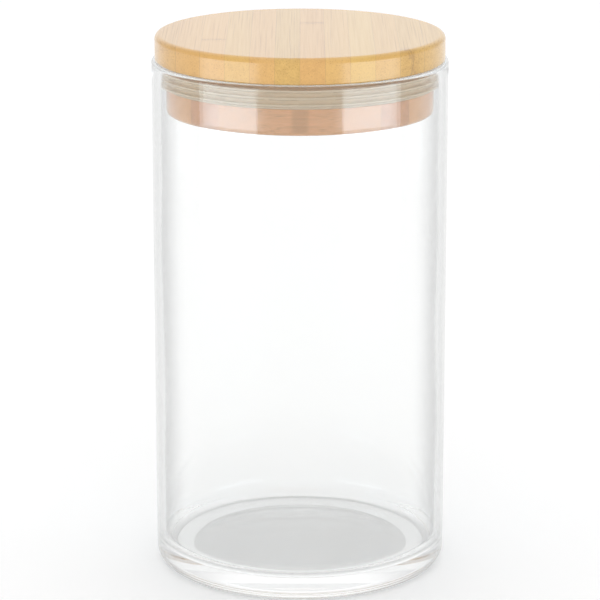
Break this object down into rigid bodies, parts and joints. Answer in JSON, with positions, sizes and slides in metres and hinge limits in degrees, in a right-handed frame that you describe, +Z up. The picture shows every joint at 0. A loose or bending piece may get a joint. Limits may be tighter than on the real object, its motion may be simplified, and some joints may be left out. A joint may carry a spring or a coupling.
{
  "type": "lidded glass canister",
  "caption": "Straight round glass canister with a flat bamboo lid whose plug carries a finned silicone seal and lifts out of the mouth.",
  "frame": {"origin": "centre of the foot, on the surface that the canister stands on", "axes": "+Z up along the jar's axis; the disc's bamboo strips run along Y and the plug's run along X"},
  "size_m": [0.1, 0.1, 0.1848],
  "materials": {
    "glass": "clear, fire-polished",
    "silicone": "translucent milky, satin",
    "bamboo": "sanded and oiled, satin"
  },
  "bodies": {
    "jar": {"glass_jar": "glass"},
    "seal": {"seal_ring": "silicone"},
    "lid": {"disc_strip_01": "bamboo", "disc_strip_02": "bamboo", "disc_strip_03": "bamboo", "disc_strip_04": "bamboo", "disc_strip_05": "bamboo", "disc_strip_06": "bamboo", "disc_strip_07": "bamboo", "disc_strip_08": "bamboo", "disc_strip_09": "bamboo", "disc_strip_10": "bamboo", "disc_strip_11": "bamboo", "disc_strip_12": "bamboo", "plug_strip_01": "bamboo", "plug_strip_02": "bamboo", "plug_strip_03": "bamboo", "plug_strip_04": "bamboo", "plug_strip_05": "bamboo", "plug_strip_06": "bamboo", "plug_strip_07": "bamboo", "plug_strip_08": "bamboo", "plug_strip_09": "bamboo", "plug_strip_10": "bamboo", "plug_strip_11": "bamboo"}
  },
  "joints": [
    {"name": "lid_lift", "type": "slide", "parent": "jar", "child": "seal", "axis": [0, 0, 1], "range_m": [0, 0.12]},
    {"name": "lid_turn", "type": "hinge", "parent": "seal", "child": "lid", "pos_m": [0, 0, 0.17], "axis": [0, 0, 1], "continuous": true}
  ]
}
